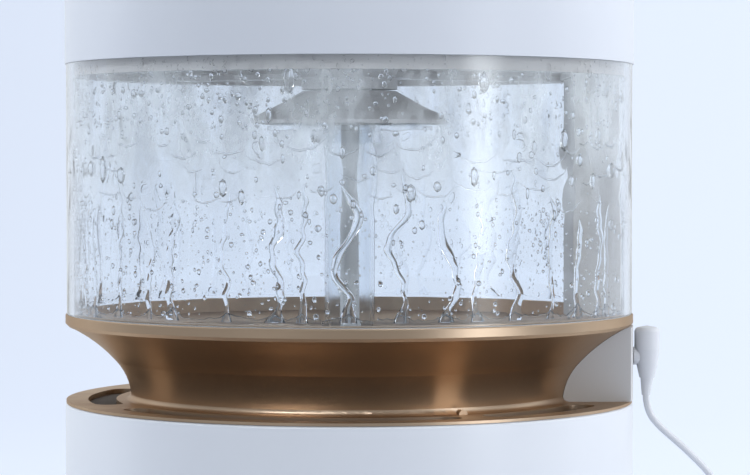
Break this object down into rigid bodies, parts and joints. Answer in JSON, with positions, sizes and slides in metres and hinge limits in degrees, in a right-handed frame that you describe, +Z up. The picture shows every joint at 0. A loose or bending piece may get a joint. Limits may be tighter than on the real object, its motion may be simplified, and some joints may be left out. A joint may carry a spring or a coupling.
{
  "type": "cool mist humidifier",
  "caption": "Round tower humidifier: white water tank, slotted flared metallic waist, clear spray chamber with a spinning lift pipe, and a white fan head; plugged-in adapter lead.",
  "frame": {"origin": "centre of the tower's footprint, on the plane that its four rubber feet stand on", "axes": "+Z up along the tower's axis; front towards -Y; the power riser and its socket towards +X"},
  "size_m": [0.3455, 0.3065, 0.4405],
  "materials": {
    "white_shell": "satin white moulded plastic",
    "gold_waist": "warm champagne-gold metallic coat, semi-gloss",
    "clear_window": "clear polished plastic",
    "clear_pipe": "translucent moulded plastic",
    "canopy_grey": "satin grey moulded plastic",
    "grey_plastic": "fine satin grey plastic",
    "grey_basin": "smooth light grey plastic",
    "fan_grey": "satin dark grey plastic",
    "filter_mesh": "woven nylon dust mesh",
    "rubber_black": "matte rubber",
    "rubber_clear": "soft translucent silicone",
    "black_plastic": "matte black plastic",
    "bright_metal": "bright plated metal",
    "shaft_steel": "ground stainless steel",
    "motor_steel": "zinc-plated steel can",
    "magnet_metal": "plated magnet",
    "contact_gold": "gold-plated contact",
    "float_foam": "closed-cell foam",
    "wire_jacket": "soft wire insulation",
    "cord_white": "soft satin white jacket",
    "adapter_white": "white moulded case",
    "circuit_green": "solder-masked board",
    "lens_dark": "smoked display window",
    "glow_white": "frosted light guide"
  },
  "bodies": {
    "root": {"tank_shell": "white_shell", "foot_pads": "rubber_black", "water_basin": "grey_basin", "sump_bush": "grey_plastic", "level_rod": "grey_plastic", "waist_funnel": "gold_waist", "inlet_filter": "filter_mesh", "rim_ring": "gold_waist", "window_seal": "rubber_clear", "riser_foot": "white_shell", "dc_socket": "black_plastic", "socket_pin": "bright_metal", "socket_leads": "wire_jacket", "contact_tower": "grey_plastic", "contact_pins": "contact_gold", "dc_plug": "cord_white", "plug_barrel": "bright_metal", "plug_relief": "cord_white", "power_cord": "cord_white", "cord_coil": "cord_white", "cord_tie": "black_plastic", "adapter_lead": "cord_white", "adapter_case": "adapter_white", "adapter_relief": "cord_white", "mains_pins": "bright_metal"},
    "float": {"level_float": "float_foam", "float_magnet": "magnet_metal"},
    "head": {"window": "clear_window", "riser_cover": "grey_plastic", "contact_pads": "contact_gold", "ceiling_frame": "grey_plastic", "ceiling_screws": "bright_metal", "drop_catcher": "grey_plastic", "motor_pod": "grey_plastic", "pod_lid": "grey_plastic", "shaft_seal": "rubber_black", "lift_motor": "motor_steel", "head_shell": "white_shell", "trim_ring": "gold_waist", "fan_duct": "grey_plastic", "duct_screws": "bright_metal", "fan_spider": "grey_plastic", "fan_motor": "motor_steel", "control_housing": "grey_plastic", "control_board": "circuit_green", "tact_switch": "black_plastic", "control_panel": "white_shell", "display_lens": "lens_dark", "glow_ring": "glow_white", "button_spring": "bright_metal", "riser_harness": "wire_jacket"},
    "rotor": {"drive_shaft": "shaft_steel", "lift_pipe": "clear_pipe", "pump_paddles": "grey_plastic", "spray_canopy": "canopy_grey", "spray_disc": "clear_pipe"},
    "fan": {"fan_wheel": "fan_grey", "fan_spindle": "shaft_steel"},
    "grille": {"outlet_grille": "white_shell"},
    "button": {"power_button": "white_shell"}
  },
  "joints": [
    {"name": "head_lift", "type": "slide", "parent": "root", "child": "head", "axis": [0, 0, 1], "range_m": [0, 0.25]},
    {"name": "rotor_spin", "type": "hinge", "parent": "head", "child": "rotor", "pos_m": [0, 0, 0.3], "axis": [0, 0, 1], "continuous": true},
    {"name": "fan_spin", "type": "hinge", "parent": "head", "child": "fan", "pos_m": [0, 0, 0.386], "axis": [0, 0, 1], "continuous": true},
    {"name": "float_rise", "type": "slide", "parent": "root", "child": "float", "axis": [0, 0, 1], "range_m": [0, 0.114]},
    {"name": "button_press", "type": "slide", "parent": "head", "child": "button", "axis": [0, 0, -1], "range_m": [0, 0.0012], "stiffness_N_per_m": 500, "springref_m": -0.0006, "deforming": ["button_spring"]},
    {"name": "grille_lift", "type": "slide", "parent": "head", "child": "grille", "axis": [0, 0, 1], "range_m": [0, 0.05]}
  ]
}
